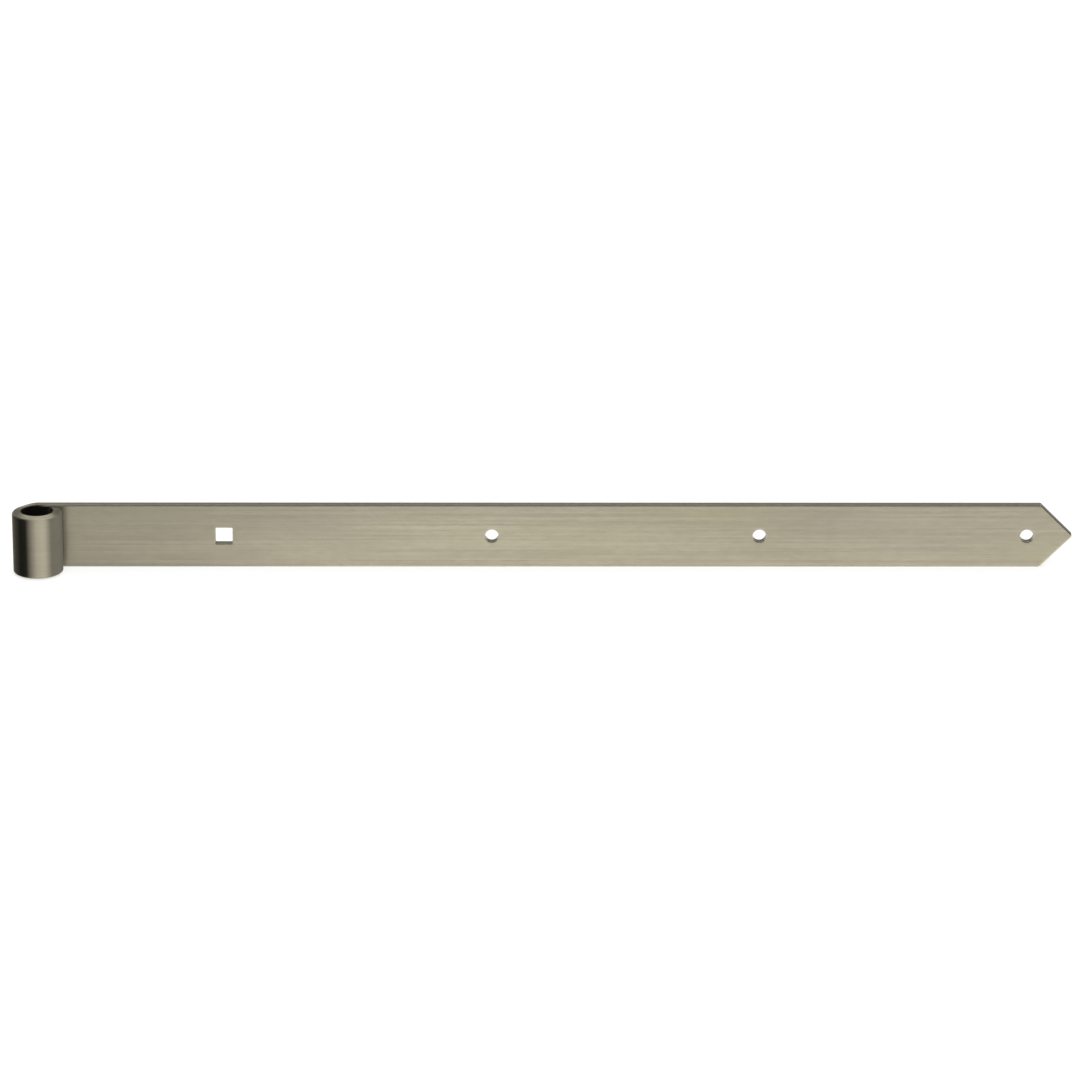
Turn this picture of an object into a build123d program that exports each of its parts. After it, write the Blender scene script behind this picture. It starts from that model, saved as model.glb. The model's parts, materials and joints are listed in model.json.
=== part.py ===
from build123d import *

import os
from math import asin, degrees, hypot

# Strap hinge for a window shutter: one flat steel bar, rolled into an eye at one end, pointed at the other.
# Millimetres. The origin is on the pin axis at half the bar's width, +Z runs up the pin, +X runs along
# the strap to its point, and +Y is the side that lies on the shutter. The eye is rolled towards -Y.

# Flat bar
BAR_WIDTH = 35.0
BAR_THICKNESS = 5.0
BAR_EDGE_RADIUS = 1.0
STRAP_LENGTH = 550.0

# Rolled eye
PIN_DIAMETER = 16.0
PIN_CLEARANCE = 0.25
SEAM_GAP = 0.4

# Pointed end
POINT_LENGTH = 17.5
POINT_RADIUS = 1.5
SHOULDER_RADIUS = 1.5

# Holes
BOLT_SQUARE = 8.6
BOLT_CLEARANCE = 0.2
SQUARE_CORNER_RADIUS = 0.5
SCREW_HOLE_DIAMETER = 7.0
SCREW_HOLE_COUNT = 3
SQUARE_HOLE_TO_PIN = 98.5
LAST_HOLE_TO_POINT = 24.0
PUNCHED_EDGE_RADIUS = 0.4

# Worked out from the above
half_width = BAR_WIDTH / 2
bore_radius = PIN_DIAMETER / 2 + PIN_CLEARANCE
eye_radius = bore_radius + BAR_THICKNESS
front_y = bore_radius

# The bar leaves the strap at the back of the eye and stops short of the strap's front face by the seam gap.
eye_start = 90.0
eye_end = 360.0 + degrees(asin((front_y - SEAM_GAP) / eye_radius))
eye_wrap = eye_end - eye_start

# A rounded point loses a little of its length, so the sharp one starts out longer.
point_sine = half_width / hypot(half_width, POINT_LENGTH)
sharp_length = STRAP_LENGTH + POINT_RADIUS * (1 / point_sine - 1)
shoulder_x = sharp_length - POINT_LENGTH

# The screw holes share out the length between the square hole and the point.
last_hole_x = STRAP_LENGTH - LAST_HOLE_TO_POINT
hole_pitch = (last_hole_x - SQUARE_HOLE_TO_PIN) / SCREW_HOLE_COUNT
screw_holes = [(last_hole_x - i * hole_pitch, 0) for i in range(SCREW_HOLE_COUNT)]
square_hole = (SQUARE_HOLE_TO_PIN, 0)
square_side = BOLT_SQUARE + 2 * BOLT_CLEARANCE

os.makedirs("parts", exist_ok=True)

with BuildPart() as strap:
    # Eye: the bar's end, rolled about the pin
    with BuildSketch(Plane.XY.offset(-half_width)):
        with BuildLine():
            outer = CenterArc((0, 0), eye_radius, eye_start, eye_wrap)
            inner = CenterArc((0, 0), bore_radius, eye_start, eye_wrap)
            Line(outer @ 0, inner @ 0)
            Line(outer @ 1, inner @ 1)
        make_face()
    extrude(amount=BAR_WIDTH)

    # Straight bar with its point, drawn on the front face
    with BuildSketch(Plane.XZ.offset(-front_y)) as outline:
        with BuildLine():
            Polyline(
                (0, -half_width),
                (shoulder_x, -half_width),
                (sharp_length, 0),
                (shoulder_x, half_width),
                (0, half_width),
                close=True,
            )
        make_face()
        fillet(outline.vertices().group_by(Axis.X)[1], SHOULDER_RADIUS)
        fillet(outline.vertices().sort_by(Axis.X)[-1], POINT_RADIUS)
    extrude(amount=-BAR_THICKNESS)

    # Rounded bar edges: all but the lines where a flat runs on into a curve
    cross_lines = strap.edges().filter_by(Axis.Y)
    upright_lines = strap.edges().filter_by(Axis.Z).sort_by(Axis.X)
    flush_lines = cross_lines + upright_lines[:2]
    fillet(strap.edges() - flush_lines, BAR_EDGE_RADIUS)

    # Holes, punched from the front
    with BuildSketch(Plane.XZ.offset(-front_y)):
        with Locations(square_hole):
            RectangleRounded(square_side, square_side, SQUARE_CORNER_RADIUS)
        with Locations(screw_holes):
            Circle(SCREW_HOLE_DIAMETER / 2)
    extrude(amount=-BAR_THICKNESS, mode=Mode.SUBTRACT)
    front_face = strap.faces().filter_by(Axis.Y).sort_by(Axis.Y)[0]
    fillet(front_face.inner_wires().edges(), PUNCHED_EDGE_RADIUS)

strap.part.label = "strap"
export_step(strap.part, "parts/strap.step")
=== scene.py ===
import json
from math import asin, atan2, ceil, cos, hypot, pi, radians, sin, tan

import bmesh
import bpy
from mathutils import Matrix, Vector
from mathutils.geometry import delaunay_2d_cdt


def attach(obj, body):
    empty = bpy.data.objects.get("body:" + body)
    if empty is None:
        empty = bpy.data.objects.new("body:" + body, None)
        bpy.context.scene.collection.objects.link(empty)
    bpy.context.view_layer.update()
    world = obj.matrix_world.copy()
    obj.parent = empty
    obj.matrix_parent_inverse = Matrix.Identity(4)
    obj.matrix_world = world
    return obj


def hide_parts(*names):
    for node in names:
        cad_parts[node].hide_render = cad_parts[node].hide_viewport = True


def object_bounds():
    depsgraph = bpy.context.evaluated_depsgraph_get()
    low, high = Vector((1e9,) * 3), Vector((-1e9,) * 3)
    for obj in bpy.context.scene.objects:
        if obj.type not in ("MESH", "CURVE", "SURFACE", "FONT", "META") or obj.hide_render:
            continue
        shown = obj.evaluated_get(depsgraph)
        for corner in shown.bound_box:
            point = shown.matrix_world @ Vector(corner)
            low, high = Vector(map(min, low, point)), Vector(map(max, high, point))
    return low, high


# Strap hinge for a window shutter: one steel bar, rolled into an eye at one end and pointed at the other.
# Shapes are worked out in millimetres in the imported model's frame and scaled to metres in the mesh.
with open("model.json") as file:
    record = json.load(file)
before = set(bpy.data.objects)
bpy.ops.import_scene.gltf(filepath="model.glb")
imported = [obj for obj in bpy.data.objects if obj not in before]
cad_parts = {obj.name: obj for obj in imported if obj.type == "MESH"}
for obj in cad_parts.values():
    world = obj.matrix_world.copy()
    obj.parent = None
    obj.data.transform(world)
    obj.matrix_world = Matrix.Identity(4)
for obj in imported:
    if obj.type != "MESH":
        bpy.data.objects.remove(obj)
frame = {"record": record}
cad_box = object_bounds()

MM = 0.001
PLACE_DIGITS = 3
BOX_DIGITS = 1
ROUND_HOLES = ("inner_screw_hole", "middle_screw_hole", "outer_screw_hole")

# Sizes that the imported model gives
mounts = {mount["name"]: mount for mount in frame["record"]["mounts"]}


def place_of(name):
    """A mount's place in millimetres."""
    return [round(c / MM, PLACE_DIGITS) for c in mounts[name]["pos_m"]]


def radius_of(name):
    """A bore's radius in millimetres."""
    return mounts[name]["dims"]["r_mm"]


half_width = round(cad_box[1].z / MM, BOX_DIGITS)
strap_length = round(cad_box[1].x / MM, BOX_DIGITS)
bore_radius = radius_of("eye_bore")
bar_thickness = place_of("back_face")[1] - bore_radius
square_hole_x = place_of("square_bolt_hole")[0]
round_holes_x = [place_of(name)[0] for name in ROUND_HOLES]
round_hole_radius = radius_of(ROUND_HOLES[0])

# Sizes that it doesn't state, as in its source
EDGE_RADIUS = 1.0
SEAM_GAP = 0.4
POINT_LENGTH = 17.5
CORNER_RADIUS = 1.5
SQUARE_SIDE = 9.0
SQUARE_CORNER_RADIUS = 0.5

# Worked out from those
eye_radius = bore_radius + bar_thickness
mid_radius = bore_radius + bar_thickness / 2
front_y = bore_radius
eye_start = pi / 2
eye_end = 2 * pi + asin((front_y - SEAM_GAP) / eye_radius)
eye_length = mid_radius * (eye_end - eye_start)
slant = hypot(half_width, POINT_LENGTH)
sharp_length = strap_length + CORNER_RADIUS * (slant / half_width - 1)

# Fineness of the mesh
EYE_STEPS = 120
FILLET_STEPS = 6
FACE_STEPS = 10
LONG_RUN_STEPS = 110
POINT_RUN_STEPS = 14
CORNER_STEPS = 6
ROUND_HOLE_STEPS = 72
SQUARE_RUN_STEPS = 10
SQUARE_CORNER_STEPS = 6
GRID_STEP = 4.0
GRID_MARGIN = 2.0
WELD_DIGITS = 3
WELD_DISTANCE = 1e-5
RIM_SLACK = 1e-3
INSIDE_ONLY = 1
SMALLEST_RADIUS = 0.2

# Bands beside the bar's edges and its holes, and what punching does to a hole
EDGE_BAND = 2.2
HOLE_BAND = 1.7
BACK_BAND = 1.3
DISH_DEPTH = 0.06
DISH_TILT = radians(5.0)
ROLLOVER = 0.4
BURNISH_DEPTH = 1.9
TEAR_LENGTH = 0.15
TEAR_STEP = 0.03
BREAK_OUT = 0.12
BREAK_TILT = radians(92.0)
BACK_BREAK = 0.18
BACK_BREAK_STEP = 0.06
BACK_BREAK_TILT = radians(120.0)
BACK_RING_TILT = radians(165.0)

# Bending draws the outside of the eye in, so that its rims slope down outwards. The bar's end is rounded off.
RIM_DROP = 1.0
RIM_FADE = radians(45.0)
RIM_BURNISH = 0.8
END_RADIUS = 0.8

# How far the painted shade of the bore's inside reaches into the bar's section and along the strap, and how
# worn its lips are
INSIDE_SHADE_REACH = 0.9
SHADE_START = 4.0
SHADE_REACH = 9.0
WORN_LIP = 0.35

# The map unrolls the bar: along it, then round its section. Cut faces lie above, by their length and depth.
MAP_SPAN = 680.0
MAP_RISE = 24.0
CUT_RISE = 100.0
END_CUT_AT = 90.0
HOLE_CUT_AT = 140.0
HOLE_CUT_STEP = 45.0

BRUSHED, CUT = 0, 1
steel = bmesh.new()
uv_layer = steel.loops.layers.uv.new("Grain")
edge_layer = steel.verts.layers.float.new("edge")
worn_layer = steel.verts.layers.float.new("worn")
# Painted shade of the bore's inside, kept for each vertex
bore_shade_layer = steel.verts.layers.float.new("bore")
known = {}
normals = []


def smooth_step(x):
    x = min(max(x, 0.0), 1.0)
    return x * x * (3 - 2 * x)


def running_lengths(places):
    """The length of the way to each of these places from the first."""
    lengths = [0.0]
    for p, q in zip(places, places[1:]):
        lengths.append(lengths[-1] + hypot(q[0] - p[0], q[1] - p[1]))
    return lengths


def vertex(place, normal, edge=0.0, worn=0.0, bore=0.0):
    """The vertex at a place in millimetres, made on first use."""
    key = tuple(round(c, WELD_DIGITS) + 0.0 for c in place)
    if key not in known:
        v = steel.verts.new([c * MM for c in place])
        v[edge_layer] = edge
        v[worn_layer] = worn
        v[bore_shade_layer] = bore
        known[key] = v
        normals.append(Vector(normal).normalized())
    return known[key]


def face(corners, material):
    """A face from (vertex, place on the map) pairs."""
    made = steel.faces.new([v for v, _ in corners])
    made.smooth = True
    made.material_index = material
    for loop, (_, place) in zip(made.loops, corners):
        loop[uv_layer].uv = (place[0] / MAP_SPAN, (place[1] + MAP_RISE) / MAP_SPAN)


def strip(row, next_row, material):
    """Quads between two rows of (vertex, place on the map) pairs."""
    for i in range(len(row) - 1):
        face((row[i], row[i + 1], next_row[i + 1], next_row[i]), material)


# Levels across a rounded bar edge: inset from the outline, depth below the front, and the angle that it
# faces, from 0 for the front through a quarter turn for outwards to a half turn for the back
edge_levels = [(EDGE_BAND, 0.0, 0.0)]
for i in range(FILLET_STEPS + 1):
    a = pi / 2 * i / FILLET_STEPS
    edge_levels.append((EDGE_RADIUS * (1 - sin(a)), EDGE_RADIUS * (1 - cos(a)), a))
edge_levels.append((0.0, bar_thickness / 2, pi / 2))
for i in range(FILLET_STEPS + 1):
    a = pi / 2 * (1 + i / FILLET_STEPS)
    edge_levels.append((EDGE_RADIUS * (1 - sin(a)), bar_thickness - EDGE_RADIUS * (1 + cos(a)), a))
edge_levels.append((EDGE_BAND, bar_thickness, pi))
FRONT_LIP = 1
last_level = len(edge_levels) - 1
back_lip = last_level - 1
middle_level = last_level // 2
level_way = running_lengths(edge_levels)
flat_top = half_width - EDGE_RADIUS
band_top = half_width - EDGE_BAND
wrap = level_way[back_lip] - level_way[FRONT_LIP]
back_rise = 2 * flat_top + wrap


def edge_marks(angle):
    """How much of a bar edge, and of a worn corner, a surface facing this way is."""
    return {"edge": sin(angle) ** 2, "worn": sin(2 * angle) ** 2}


# The bar's section as a closed loop of depth, height and direction, from its lower back corner over the front
top = [(t, half_width - d, -cos(a), sin(a)) for d, t, a in edge_levels]
bottom = [(t, -z, nt, -nz) for t, z, nt, nz in top]
heights = [(2 * i / FACE_STEPS - 1) * band_top for i in range(1, FACE_STEPS)]
section = bottom[back_lip::-1] + [(0.0, z, -1.0, 0.0) for z in heights] + top
section += [(bar_thickness, z, 1.0, 0.0) for z in reversed(heights)] + bottom[last_level:]
section_rise = [rise - flat_top - wrap for rise in running_lengths(section + section[:1])]


def section_ring(angle, inset=0.0, tilt=0.0):
    """The section at an angle round the pin, shrunk by an inset and tilted to face along the bar."""
    ring = []
    bent = smooth_step((angle - eye_start) / RIM_FADE)
    way = mid_radius * (eye_end - angle)
    for (t, z, nt, nz), rise in zip(section, section_rise):
        marks = edge_marks(atan2(abs(nz), -nt))
        marks["edge"] *= 1 - RIM_BURNISH * bent
        # Painted shade on the eye's inside, fading out into the bar's section
        marks["bore"] = smooth_step(1 - t / INSIDE_SHADE_REACH)
        z *= 1 - bent * RIM_DROP * t / bar_thickness / half_width
        t -= inset * nt
        z -= inset * nz
        nt += bent * RIM_DROP / bar_thickness * abs(nz)
        out = Vector((nt * cos(angle), nt * sin(angle), nz)).normalized()
        along = Vector((-sin(angle), cos(angle), 0))
        r = bore_radius + t
        place = (r * cos(angle), r * sin(angle), z)
        ring.append((vertex(place, out * cos(tilt) + along * sin(tilt), **marks), (way, rise)))
    first, (way, _) = ring[0]
    return ring + [(first, (way, section_rise[-1]))]


# Eye: from the strap round the pin to the bar's end
end_turn = END_RADIUS / mid_radius
rings = []
for i in range(EYE_STEPS + 1):
    rings.append(section_ring(eye_start + (eye_end - end_turn - eye_start) * i / EYE_STEPS))
for i in range(1, FILLET_STEPS + 1):
    a = pi / 2 * i / FILLET_STEPS
    rings.append(section_ring(eye_end - end_turn * (1 - sin(a)), END_RADIUS * (1 - cos(a)), a))
for ring, next_ring in zip(rings, rings[1:]):
    strip(ring, next_ring, BRUSHED)


# Bar's end: rungs between the bore's side and the outside
def end_row(side):
    """A row of vertices with their places on the map of the bar's end."""
    row = []
    for v in side:
        x, y, z = (c / MM for c in v.co)
        row.append((v, (END_CUT_AT + z, CUT_RISE + hypot(x, y) - bore_radius)))
    return row


end_ring = [v for v, _ in rings[-1]]
side_steps = last_level + FACE_STEPS
lower_middle = back_lip - middle_level
upper_middle = lower_middle + side_steps
bore_row = end_row(end_ring[lower_middle : upper_middle + 1])
outer_row = end_row((end_ring + end_ring[1:])[upper_middle : upper_middle + side_steps + 1][::-1])
for i in range(side_steps):
    rung = [bore_row[i], bore_row[i + 1], outer_row[i + 1], outer_row[i]]
    face([c for j, c in enumerate(rung) if c[0] is not rung[j - 1][0]], CUT)


def outline(inset):
    """The strap's outline in X and Z, from its top by the point to its bottom: places and directions."""
    up = Vector((0, 1))
    out = Vector((half_width, POINT_LENGTH)) / slant
    down = Vector((out.y, -out.x))
    radius = max(CORNER_RADIUS - inset, SMALLEST_RADIUS)
    reach = out.x * sharp_length - inset
    shoulder = Vector(((reach - out.y * (half_width - inset)) / out.x, half_width - inset))
    tip = Vector((reach / out.x, 0))
    turn = atan2(out.x, out.y)
    to_shoulder = radius * tan(turn / 2)
    to_tip = radius * tan(pi / 2 - turn)
    top_run = (Vector((0, half_width - inset)), shoulder - Vector((to_shoulder, 0)))
    slant_run = (shoulder + down * to_shoulder, tip - down * to_tip)
    runs = ((top_run, LONG_RUN_STEPS, up, turn), (slant_run, POINT_RUN_STEPS, out, pi / 2 - turn))
    places = []
    for (start, stop), steps, facing, turned in runs:
        places += [(start.lerp(stop, i / steps), facing) for i in range(steps)]
        centre = stop - facing * radius
        base = atan2(facing.x, facing.y)
        for i in range(CORNER_STEPS):
            a = base + turned * i / CORNER_STEPS
            facing_now = Vector((sin(a), cos(a)))
            places.append((centre + facing_now * radius, facing_now))
    places.append((Vector((tip.x - to_tip * down.x - radius * out.x + radius, 0)), Vector((1, 0))))
    mirrored = [(Vector((p.x, -p.y)), Vector((f.x, -f.y))) for p, f in reversed(places[:-1])]
    return places + mirrored


# Strap: its edges and the point, as rows along the outline for each level
levels = [outline(d) for d, _, _ in edge_levels]
around = running_lengths([p for p, _ in levels[FRONT_LIP]])


def painted_bore_shade(x):
    """How much painted shade the strap's front gets where it closes the bore."""
    return smooth_step(1 - (x - SHADE_START) / SHADE_REACH)


def strap_vertex(level, i):
    """The vertex of one level at a step along the outline."""
    _, t, a = edge_levels[level]
    p, facing = levels[level][i]
    marks = edge_marks(a)
    if level in (FRONT_LIP, back_lip):
        marks["worn"] = WORN_LIP
    # The front and its lip get the bore's painted shade by the eye
    if level <= FRONT_LIP:
        marks["bore"] = painted_bore_shade(p.x)
    normal = (facing.x * sin(a), -cos(a), facing.y * sin(a))
    return vertex((p.x, front_y + t, p.y), normal, **marks)


def front_place(x, z):
    """Where a place on the strap's front lies on the map."""
    return (eye_length + x, z)


def back_place(x, z):
    """Where a place on the strap's back lies on the map."""
    return (eye_length + x, back_rise - z)


def strap_row(level, first, last, place):
    """Vertices of one level along part of the outline, with their places on the map."""
    row = []
    for i in range(first, last + 1):
        row.append((strap_vertex(level, i), place(level, i)))
    return row


def flat_front(level, i):
    return front_place(*levels[level][i][0])


def flat_back(level, i):
    return back_place(*levels[level][i][0])


def over_top(level, i):
    """A place on the map of the long upper edge, which runs on from the front."""
    return front_place(levels[FRONT_LIP][i][0].x, flat_top + level_way[level] - level_way[FRONT_LIP])


def under_bottom(level, i):
    """A place on the map of the long lower edge, which runs on from the front."""
    return front_place(levels[FRONT_LIP][i][0].x, -flat_top - level_way[level] + level_way[FRONT_LIP])


def round_point(level, i):
    """A place on the map of the cut round the point."""
    return (around[i] - around[LONG_RUN_STEPS], CUT_RISE + level_way[level] - level_way[FRONT_LIP])


point_first = LONG_RUN_STEPS
outline_last = len(around) - 1
point_last = outline_last - LONG_RUN_STEPS
parts = (
    (0, point_first, over_top, BRUSHED),
    (point_first, point_last, round_point, CUT),
    (point_last, outline_last, under_bottom, BRUSHED),
)
for level in range(last_level):
    for first, last, place, material in parts:
        if level == 0:
            place, material = flat_front, BRUSHED
        if level == back_lip:
            place, material = flat_back, BRUSHED
        row = strap_row(level, first, last, place)
        strip(row, strap_row(level + 1, first, last, place), material)


def circle(x, grow):
    """A round hole's outline, grown by a margin: places and directions."""
    places = []
    for i in range(ROUND_HOLE_STEPS):
        a = 2 * pi * i / ROUND_HOLE_STEPS
        facing = Vector((cos(a), sin(a)))
        places.append((Vector((x, 0)) + facing * (round_hole_radius + grow), facing))
    return places


def square(x, grow):
    """The square hole's outline with its rounded corners, grown by a margin."""
    core = SQUARE_SIDE / 2 - SQUARE_CORNER_RADIUS
    radius = SQUARE_CORNER_RADIUS + grow
    places = []
    for quarter in range(4):
        base = quarter * pi / 2
        facing = Vector((cos(base), sin(base)))
        along = Vector((-facing.y, facing.x))
        for i in range(SQUARE_RUN_STEPS):
            sideways = (2 * i / SQUARE_RUN_STEPS - 1) * core
            places.append((Vector((x, 0)) + facing * (core + radius) + along * sideways, facing))
        corner = Vector((x, 0)) + (facing + along) * core
        for i in range(SQUARE_CORNER_STEPS):
            a = base + pi / 2 * i / SQUARE_CORNER_STEPS
            out = Vector((cos(a), sin(a)))
            places.append((corner + out * radius, out))
    return places


# Levels down a punched hole, as for the bar's edges: growth of the outline, depth and angle
hole_levels = [(HOLE_BAND, 0.0, 0.0)]
for i in range(FILLET_STEPS + 1):
    a = DISH_TILT + (pi / 2 - DISH_TILT) * i / FILLET_STEPS
    grow = ROLLOVER * (1 - sin(a)) / (1 - sin(DISH_TILT))
    hole_levels.append((grow, DISH_DEPTH + ROLLOVER * (cos(DISH_TILT) - cos(a)), a))
hole_levels += [
    (0.0, BURNISH_DEPTH, pi / 2),
    (TEAR_STEP, BURNISH_DEPTH + TEAR_LENGTH, BREAK_TILT),
    (BREAK_OUT, bar_thickness - BACK_BREAK, BREAK_TILT),
    (BREAK_OUT + BACK_BREAK_STEP, bar_thickness - BACK_BREAK_STEP, BACK_BREAK_TILT),
    (BREAK_OUT + BACK_BREAK, bar_thickness, BACK_RING_TILT),
    (BACK_BAND, bar_thickness, pi),
]
last_hole_level = len(hole_levels) - 1
hole_back_lip = last_hole_level - 1
hole_way = running_lengths(hole_levels)


def hole_row(shape, x, level, place):
    """One level of a hole as a closed row with places on the map."""
    grow, t, a = hole_levels[level]
    worn = sin(2 * a) ** 2
    if level in (FRONT_LIP, hole_back_lip):
        worn = WORN_LIP
    if level in (0, last_hole_level):
        worn = 0.0
    points = shape(x, grow)
    row = []
    for i, (p, out) in enumerate(points):
        normal = (-out.x * sin(a), -cos(a), -out.y * sin(a))
        row.append((vertex((p.x, front_y + t, p.y), normal, worn=worn), place(level, i, p)))
    return row + [(row[0][0], place(level, len(points), points[0][0]))]


def hole_wall(shape, x, cut_at):
    """The faces down one hole."""
    walk = [p for p, _ in shape(x, 0.0)]
    length = running_lengths(walk + walk[:1])

    def on_front(level, i, p):
        return front_place(*p)

    def on_back(level, i, p):
        return back_place(*p)

    def on_wall(level, i, p):
        return (cut_at + length[i], CUT_RISE + hole_way[level] - hole_way[FRONT_LIP])

    for level in range(last_hole_level):
        place, material = on_wall, CUT
        if level == 0:
            place, material = on_front, BRUSHED
        if level == hole_back_lip:
            place, material = on_back, BRUSHED
        strip(hole_row(shape, x, level, place), hole_row(shape, x, level + 1, place), material)


holes = [(square, square_hole_x)] + [(circle, x) for x in round_holes_x]
for i, (shape, x) in enumerate(holes):
    hole_wall(shape, x, HOLE_CUT_AT + i * HOLE_CUT_STEP)


def near_hole(p, margin):
    """Whether a place in X and Z lies in a hole grown by a margin."""
    x, z = p
    if max(abs(x - square_hole_x), abs(z)) < SQUARE_SIDE / 2 + margin:
        return True
    return any(hypot(x - hole_x, z) < round_hole_radius + margin for hole_x in round_holes_x)


def grid(margin):
    """Points spread over a flat side, clear of its rim and of the holes grown by a margin."""
    points = []
    across = ceil(2 * band_top / GRID_STEP)
    room = half_width * sharp_length - (EDGE_BAND + GRID_MARGIN) * slant
    for i in range(1, ceil(strap_length / GRID_STEP)):
        for j in range(1, across):
            x = i * GRID_STEP
            z = (2 * j / across - 1) * band_top
            if x * half_width + abs(z) * POINT_LENGTH < room and not near_hole((x, z), margin):
                points.append(Vector((x, z)))
    return points


def flat_face(level, hole_level, depth, facing, place):
    """One flat side of the strap, filled with triangles between its rim, its holes and a grid of points."""
    grow = hole_levels[hole_level][0]
    rim = [p for p, _ in levels[level]] + [Vector((0, z)) for z in heights]
    points = []
    borders = []
    for loop in [rim] + [[p for p, _ in shape(x, grow)] for shape, x in holes]:
        first = len(points)
        points += loop
        borders += [(first + i, first + (i + 1) % len(loop)) for i in range(len(loop))]
    points += grid(grow + GRID_MARGIN)
    _, _, triangles, sources, _, _ = delaunay_2d_cdt(points, borders, [], INSIDE_ONLY, WELD_DISTANCE)
    for triangle in triangles:
        flat = [points[sources[i][0]] for i in triangle]
        if near_hole(sum(flat, Vector((0, 0))) / len(flat), grow - RIM_SLACK):
            continue
        corners = []
        for p in flat:
            # The front gets the bore's painted shade by the eye
            bore = painted_bore_shade(p.x) if facing < 0 else 0.0
            v = vertex((p.x, front_y + depth, p.y), (0, facing, 0), bore=bore)
            corners.append((v, place(p.x, p.y)))
        face(corners, BRUSHED)


flat_face(0, 0, 0.0, -1, front_place)
flat_face(last_level, last_hole_level, bar_thickness, 1, back_place)


def placed(name, data):
    """A new object in the scene."""
    made = bpy.data.objects.new(name, data)
    bpy.context.scene.collection.objects.link(made)
    return made


steel.verts.index_update()
bmesh.ops.recalc_face_normals(steel, faces=steel.faces[:])
mesh = bpy.data.meshes.new("strap_bar")
steel.to_mesh(mesh)
steel.free()
mesh.normals_split_custom_set_from_vertices(normals)
strap = placed("strap_bar", mesh)

# Colours of the steel, and the painted shade of the bore
BASE = (0.56, 0.517, 0.388, 1)
LIGHT_BASE = (0.595, 0.55, 0.415, 1)
DARK_BASE = (0.515, 0.475, 0.354, 1)
STRAW_BASE = (0.575, 0.533, 0.375, 1)
UMBER_BASE = (0.535, 0.487, 0.382, 1)
WORN_BASE = (0.62, 0.585, 0.475, 1)
MILL_BASE = (0.26, 0.24, 0.19, 1)
# Near black: painted shade inside the bore
BORE_SHADE_BASE = (0.045, 0.039, 0.032, 1)

# Noises on the map: scale along and across the bar for each millimetre, a shift, detail and roughness
FINE_LINES = (0.02, 5.0, 0.0, 3.0, 0.6)
STREAKS = (0.006, 1.1, 7.3, 3.0, 0.6)
CLOUDS = (0.014, 0.05, 3.1, 2.0, 0.5)
MOTTLE = (0.16, 0.45, 11.9, 3.0, 0.6)
TINTS = (0.009, 0.03, 23.7, 1.0, 0.5)
CUT_LINES = (6.0, 0.35, 0.0, 2.0, 0.6)
TEARS = (1.6, 1.2, 5.7, 4.0, 0.7)

# The part of a noise's range over which something sets in
NOISE_RANGE = (0.3, 0.7)
GRAIN_RANGE = (0.25, 0.75)
CLOUD_RANGE = (0.35, 0.7)
STRAW_RANGE = (0.52, 0.75)
UMBER_RANGE = (0.48, 0.25)
MILL_RANGE = (0.2, 0.8)
WORN_RANGE = (0.35, 0.65)

# How much of each shows
FINE_SHARE = 0.35
STREAK_SHARE = 0.65
MOTTLE_SHARE = 0.045
CLOUD_SHARE = 0.4
TINT_SHARE = 0.7
MILL_SHARE = (0.7, 1.0)
WORN_SHARE = (0.05, 0.4)
TORN_SHARE = (0.6, 1.0)

# Gloss and bump, with heights in metres
ANISOTROPY = 0.8
QUARTER_TURN = 0.25
GRAIN_ROUGHNESS = (0.48, 0.38)
CLOUD_ROUGHNESS = 0.02
BORE_ROUGHNESS = 0.2
GRAIN_BUMP = 0.15
GRAIN_HEIGHT = 0.00004
CUT_ROUGHNESS = (0.35, 0.55)
LINE_ROUGHNESS = 0.04
CUT_BUMP = 0.35
CUT_HEIGHT = 0.0001
LINE_RELIEF = 0.4
TEAR_RELIEF = 0.8

# Ragged border of the burnished and the torn band, in millimetres before and past the burnished depth
RAGGED_BEFORE = 0.4
RAGGED_PAST = 0.5
TORN_FADE = 0.3

# Sockets of a mix node that mixes colours
MIX_FACTOR, MIX_A, MIX_B, MIX_RESULT = 0, 6, 7, 2


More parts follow.
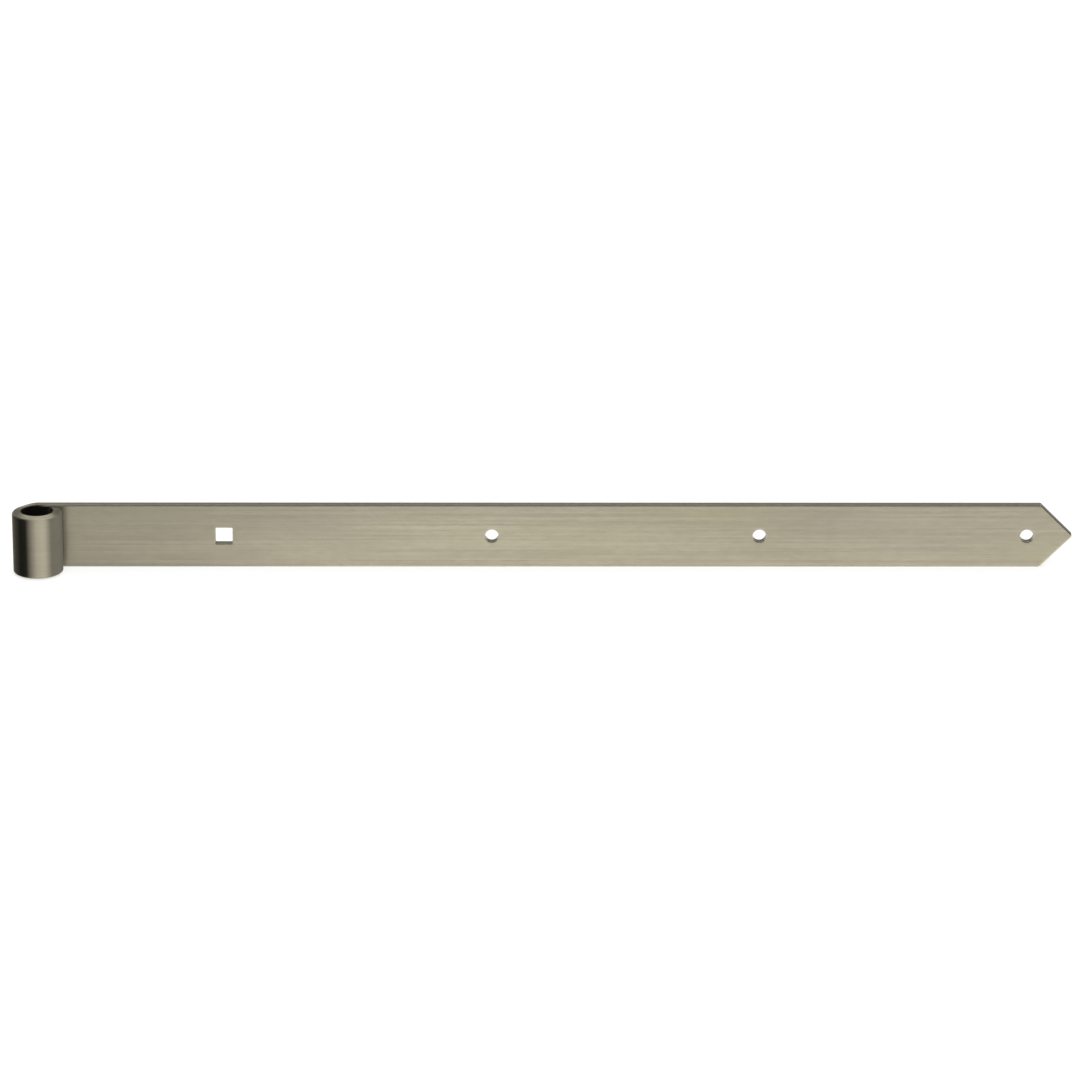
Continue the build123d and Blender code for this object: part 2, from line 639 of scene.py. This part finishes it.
class Nodes:
    """Short ways to add nodes to one material or world."""

    def __init__(self, tree):
        self.tree = tree
        tree.nodes.clear()

    def add(self, kind, inputs=None, **settings):
        made = self.tree.nodes.new(kind)
        for name, value in settings.items():
            setattr(made, name, value)
        for name, value in (inputs or {}).items():
            if isinstance(value, bpy.types.NodeSocket):
                self.tree.links.new(value, made.inputs[name])
            else:
                made.inputs[name].default_value = value
        return made

    def math(self, operation, *values):
        inputs = dict(enumerate(values))
        return self.add("ShaderNodeMath", inputs, operation=operation).outputs[0]

    def vector_math(self, operation, *values):
        inputs = dict(enumerate(values))
        return self.add("ShaderNodeVectorMath", inputs, operation=operation).outputs[0]

    def ramp(self, value, low, high, to_low=0.0, to_high=1.0):
        """value taken smoothly from one range to another."""
        inputs = {"Value": value, "From Min": low, "From Max": high, "To Min": to_low, "To Max": to_high}
        made = self.add("ShaderNodeMapRange", inputs, interpolation_type="SMOOTHSTEP")
        return made.outputs["Result"]

    def mix(self, factor, a, b):
        """Colour a, or b where the factor is 1."""
        inputs = {MIX_FACTOR: factor, MIX_A: a, MIX_B: b}
        return self.add("ShaderNodeMix", inputs, data_type="RGBA").outputs[MIX_RESULT]

    def noise(self, places, along, across, shift, detail, roughness):
        """Noise over places on the map, stretched along and across the bar."""
        scaled = self.vector_math("MULTIPLY", places, (along, across, 1))
        moved = self.vector_math("ADD", scaled, (shift, shift, shift))
        inputs = {"Vector": moved, "Scale": 1.0, "Detail": detail, "Roughness": roughness}
        return self.add("ShaderNodeTexNoise", inputs).outputs["Fac"]

    def attribute(self, name):
        return self.add("ShaderNodeAttribute", attribute_name=name).outputs["Fac"]

    def map_places(self):
        """Places on the map in millimetres."""
        places = self.add("ShaderNodeUVMap", uv_map="Grain").outputs["UV"]
        return self.vector_math("MULTIPLY", places, (MAP_SPAN, MAP_SPAN, 1))


def new_material(name):
    """A new material and its nodes."""
    material = bpy.data.materials.new(name)
    material.use_nodes = True
    return material, Nodes(material.node_tree)


def brushed_steel():
    """Steel bar, brushed along its length, with mill edges, worn corners and painted shade in the bore."""
    material, n = new_material("brushed_steel")
    places = n.map_places()
    fine = n.noise(places, *FINE_LINES)
    streaks = n.noise(places, *STREAKS)
    clouds = n.noise(places, *CLOUDS)
    mottle = n.noise(places, *MOTTLE)
    tint = n.noise(places, *TINTS)
    # Painted shade of the bore's inside and of the strap's front under the eye
    bore = n.attribute("bore")
    grain = n.math("ADD", n.math("MULTIPLY", fine, FINE_SHARE), n.math("MULTIPLY", streaks, STREAK_SHARE))
    grain = n.math("ADD", grain, n.ramp(mottle, *NOISE_RANGE, -MOTTLE_SHARE, MOTTLE_SHARE))
    mill = n.math("MULTIPLY", n.attribute("edge"), n.ramp(streaks, *MILL_RANGE, *MILL_SHARE))
    worn = n.math("MULTIPLY", n.attribute("worn"), n.ramp(streaks, *WORN_RANGE, *WORN_SHARE))
    colour = n.mix(n.ramp(grain, *GRAIN_RANGE), DARK_BASE, LIGHT_BASE)
    colour = n.mix(n.ramp(clouds, *CLOUD_RANGE, 0.0, CLOUD_SHARE), colour, BASE)
    colour = n.mix(n.ramp(tint, *STRAW_RANGE, 0.0, TINT_SHARE), colour, STRAW_BASE)
    colour = n.mix(n.ramp(tint, *UMBER_RANGE, 0.0, TINT_SHARE), colour, UMBER_BASE)
    colour = n.mix(mill, colour, MILL_BASE)
    colour = n.mix(worn, colour, WORN_BASE)
    # Painted shade darkens the bore
    colour = n.mix(bore, colour, BORE_SHADE_BASE)
    clouded = n.ramp(clouds, *NOISE_RANGE, -CLOUD_ROUGHNESS, CLOUD_ROUGHNESS)
    rough = n.math("ADD", n.ramp(grain, *NOISE_RANGE, *GRAIN_ROUGHNESS), clouded)
    rough = n.math("ADD", rough, n.math("MULTIPLY", bore, BORE_ROUGHNESS))
    bump = n.add("ShaderNodeBump", {"Strength": GRAIN_BUMP, "Distance": GRAIN_HEIGHT, "Height": grain})
    tangent = n.add("ShaderNodeTangent", direction_type="UV_MAP", uv_map="Grain")
    inputs = {
        "Base Color": colour,
        "Metallic": 1.0,
        "Roughness": rough,
        "Anisotropic": ANISOTROPY,
        "Anisotropic Rotation": QUARTER_TURN,
        "Normal": bump.outputs["Normal"],
        "Tangent": tangent.outputs["Tangent"],
    }
    shader = n.add("ShaderNodeBsdfPrincipled", inputs)
    n.add("ShaderNodeOutputMaterial", {"Surface": shader.outputs["BSDF"]})
    return material


def cut_steel():
    """Sheared faces: a bright burnished band under the front edge, then a dull torn one."""
    material, n = new_material("cut_steel")
    places = n.map_places()
    lines = n.noise(places, *CUT_LINES)
    tear = n.noise(places, *TEARS)
    rise = n.add("ShaderNodeSeparateXYZ", {"Vector": places}).outputs["Y"]
    depth = n.math("SUBTRACT", rise, CUT_RISE + MAP_RISE)
    torn_from = n.ramp(tear, *NOISE_RANGE, BURNISH_DEPTH - RAGGED_BEFORE, BURNISH_DEPTH + RAGGED_PAST)
    torn = n.ramp(n.math("SUBTRACT", depth, torn_from), 0.0, TORN_FADE)
    dull = n.math("MULTIPLY", torn, n.ramp(tear, *NOISE_RANGE, *TORN_SHARE))
    colour = n.mix(n.ramp(lines, *NOISE_RANGE), DARK_BASE, LIGHT_BASE)
    colour = n.mix(dull, colour, MILL_BASE)
    lined = n.ramp(lines, *NOISE_RANGE, -LINE_ROUGHNESS, LINE_ROUGHNESS)
    rough = n.math("ADD", n.ramp(torn, 0.0, 1.0, *CUT_ROUGHNESS), lined)
    torn_relief = n.math("MULTIPLY", n.math("MULTIPLY", tear, torn), TEAR_RELIEF)
    height = n.math("ADD", n.math("MULTIPLY", lines, LINE_RELIEF), torn_relief)
    bump = n.add("ShaderNodeBump", {"Strength": CUT_BUMP, "Distance": CUT_HEIGHT, "Height": height})
    inputs = {
        "Base Color": colour,
        "Metallic": 1.0,
        "Roughness": rough,
        "Normal": bump.outputs["Normal"],
    }
    shader = n.add("ShaderNodeBsdfPrincipled", inputs)
    n.add("ShaderNodeOutputMaterial", {"Surface": shader.outputs["BSDF"]})
    return material


mesh.materials.append(brushed_steel())
mesh.materials.append(cut_steel())
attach(strap, "root")
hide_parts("strap")

# Floor, in metres: white to the camera, with the strap's shadow. In reflections it is dimmer beside the eye
# and the point than between them, and away from the strap.
FLOOR_HALF = 30.0
FLOOR_COLOUR = (0.5, 0.5, 0.5, 1)
FLOOR_GLOW = 0.68
MIRRORED = 1.13
EYE_FADE = (-0.02, 0.22)
EYE_DIM = 0.47
POINT_FADE = (0.26, 0.42)
POINT_DIM = 0.90
POOL_FADE = (0.01, 0.13)
POOL_NEAR = 1.13
POOL_FAR = 0.59


def seen(n, mirrored):
    """1 for rays from the camera or through a clear surface, and a level of their own for reflections."""
    path = n.add("ShaderNodeLightPath").outputs
    shown = n.math("MAXIMUM", path["Is Camera Ray"], n.math("MULTIPLY", path["Is Glossy Ray"], mirrored))
    return n.math("MAXIMUM", shown, path["Is Transmission Ray"])


def floor_white():
    """Matt grey that glows up to white, and takes a shadow."""
    material, n = new_material("floor_white")
    matt = n.add("ShaderNodeBsdfDiffuse", {"Color": FLOOR_COLOUR})
    place = n.add("ShaderNodeTexCoord").outputs["Object"]
    split = n.add("ShaderNodeSeparateXYZ", {"Vector": place}).outputs
    by_eye = n.ramp(split["X"], *EYE_FADE, EYE_DIM, MIRRORED)
    by_point = n.ramp(split["X"], *POINT_FADE, 1.0, POINT_DIM)
    pool = n.ramp(n.math("ABSOLUTE", split["Y"]), *POOL_FADE, POOL_NEAR, POOL_FAR)
    mirrored = n.math("MULTIPLY", n.math("MULTIPLY", by_eye, by_point), pool)
    glow = n.add("ShaderNodeEmission", {"Strength": n.math("MULTIPLY", seen(n, mirrored), FLOOR_GLOW)})
    both = n.add("ShaderNodeAddShader", {0: matt.outputs[0], 1: glow.outputs[0]})
    n.add("ShaderNodeOutputMaterial", {"Surface": both.outputs[0]})
    return material


floor_mesh = bpy.data.meshes.new("floor")
quarters = ((-1, -1), (1, -1), (1, 1), (-1, 1))
floor_corners = [(x * FLOOR_HALF, y * FLOOR_HALF, cad_box[0].z) for x, y in quarters]
floor_mesh.from_pydata(floor_corners, [], [range(len(floor_corners))])
floor_mesh.materials.append(floor_white())
placed("floor", floor_mesh)

# World: white to the camera. The steel sees a white horizon, a dim room above it and a soft panel overhead.
WHITE = 1.0
ROOM = 0.14
SWEEP_TOP = (0.02, 0.12)
PANEL = 1.1
PANEL_FROM = (0.52, 0.68)
PANEL_BACK = (-0.1, 0.3)


def room_light(world):
    """Light from all round, by direction."""
    world.use_nodes = True
    n = Nodes(world.node_tree)
    facing = n.add("ShaderNodeTexCoord").outputs["Generated"]
    split = n.add("ShaderNodeSeparateXYZ", {"Vector": facing}).outputs
    sweep = n.ramp(split["Z"], *SWEEP_TOP, WHITE, ROOM)
    overhead = n.ramp(split["Z"], *PANEL_FROM, 0.0, PANEL)
    behind = n.ramp(split["Y"], *PANEL_BACK)
    room = n.math("ADD", sweep, n.math("MULTIPLY", overhead, behind))
    strength = n.math("MAXIMUM", room, seen(n, room))
    background = n.add("ShaderNodeBackground", {"Color": (1, 1, 1, 1), "Strength": strength})
    n.add("ShaderNodeOutputWorld", {"Surface": background.outputs[0]})


bpy.context.scene.world = bpy.data.worlds.new("room")
room_light(bpy.context.scene.world)

# Reflector, in metres and degrees: a graded card round the eye with a foot, seen only in reflections
CARD_HEIGHT = 0.045
CARD_RADIUS = 0.0143
FOOT_RADIUS = 0.0135
FOOT_LIFT = 0.0001
CARD_STEP = 3
CARD_TONES = (
    (-97, 0.5),
    (-86, 0.26),
    (-73, 0.11),
    (-43.5, 0.018),
    (-25.5, 0.028),
    (2, 0.72),
    (17, 0.82),
    (23, 0.78),
    (40, 0.32),
    (70, 0.32),
    (89, 0.24),
    (115, 0.24),
)


def card_stations():
    """Angles round the eye with their tones, in even steps between the stated ones."""
    for (angle, tone), (next_angle, next_tone) in zip(CARD_TONES, CARD_TONES[1:]):
        steps = ceil((next_angle - angle) / CARD_STEP)
        for i in range(steps):
            yield angle + (next_angle - angle) * i / steps, tone + (next_tone - tone) * i / steps
    yield CARD_TONES[-1]


def card_glow():
    """A glow as bright as the card's tone."""
    material, n = new_material("eye_card")
    glow = n.add("ShaderNodeEmission", {"Strength": n.attribute("tone")})
    n.add("ShaderNodeOutputMaterial", {"Surface": glow.outputs[0]})
    return material


card_base = cad_box[0].z + FOOT_LIFT
card_profile = ((FOOT_RADIUS, card_base), (CARD_RADIUS, card_base), (CARD_RADIUS, card_base + CARD_HEIGHT))
card_rows = len(card_profile)
card_corners = []
card_tones = []
for angle, tone in card_stations():
    turn = radians(angle)
    card_corners += [(r * sin(turn), -r * cos(turn), z) for r, z in card_profile]
    card_tones += [tone] * card_rows
card_sides = []
for i in range(0, len(card_corners) - card_rows, card_rows):
    for j in range(i, i + card_rows - 1):
        card_sides.append((j, j + card_rows, j + card_rows + 1, j + 1))
card_mesh = bpy.data.meshes.new("eye_card")
card_mesh.from_pydata(card_corners, [], card_sides)
card_mesh.attributes.new("tone", "FLOAT", "POINT").data.foreach_set("value", card_tones)
card_mesh.materials.append(card_glow())
card = placed("eye_card", card_mesh)
card.visible_camera = False
card.visible_diffuse = False
card.visible_transmission = False
card.visible_volume_scatter = False
card.visible_shadow = False

# Lamp: a soft key high in front, right of the middle, that gives the floor its shadow
KEY_AZIMUTH = radians(15)
KEY_ELEVATION = radians(57)
KEY_STRENGTH = 1.6
KEY_ANGLE = radians(50)

# Camera, from the photo: nearly square on to the strap's length and above it, with its place in metres
CAMERA_TARGET = Vector((0.2666, 0.0, 0.00078))
CAMERA_DISTANCE = 3.0
CAMERA_AZIMUTH = radians(-0.40)
CAMERA_ELEVATION = radians(19.83)
CAMERA_ROLL = radians(0.15)
LENS = 188.33
SENSOR = 36.0


def looking_from(azimuth, elevation):
    """The turn of a lamp or a camera that points at the strap from a direction, 0 being the front."""
    return Matrix.Rotation(azimuth, 4, "Z") @ Matrix.Rotation(pi / 2 - elevation, 4, "X")


key = bpy.data.lights.new("key", "SUN")
key.energy = KEY_STRENGTH
key.angle = KEY_ANGLE
key_object = placed("key", key)
key_object.visible_glossy = False
key_object.matrix_world = looking_from(KEY_AZIMUTH, KEY_ELEVATION)

camera = bpy.data.cameras.new("camera")
camera.lens = LENS
camera.sensor_width = SENSOR
camera_object = placed("camera", camera)
camera_turn = looking_from(CAMERA_AZIMUTH, CAMERA_ELEVATION) @ Matrix.Rotation(CAMERA_ROLL, 4, "Z")
stepped_back = Matrix.Translation((0, 0, CAMERA_DISTANCE))
camera_object.matrix_world = Matrix.Translation(CAMERA_TARGET) @ camera_turn @ stepped_back
bpy.context.scene.camera = camera_object
bpy.context.scene.view_settings.view_transform = "Standard"
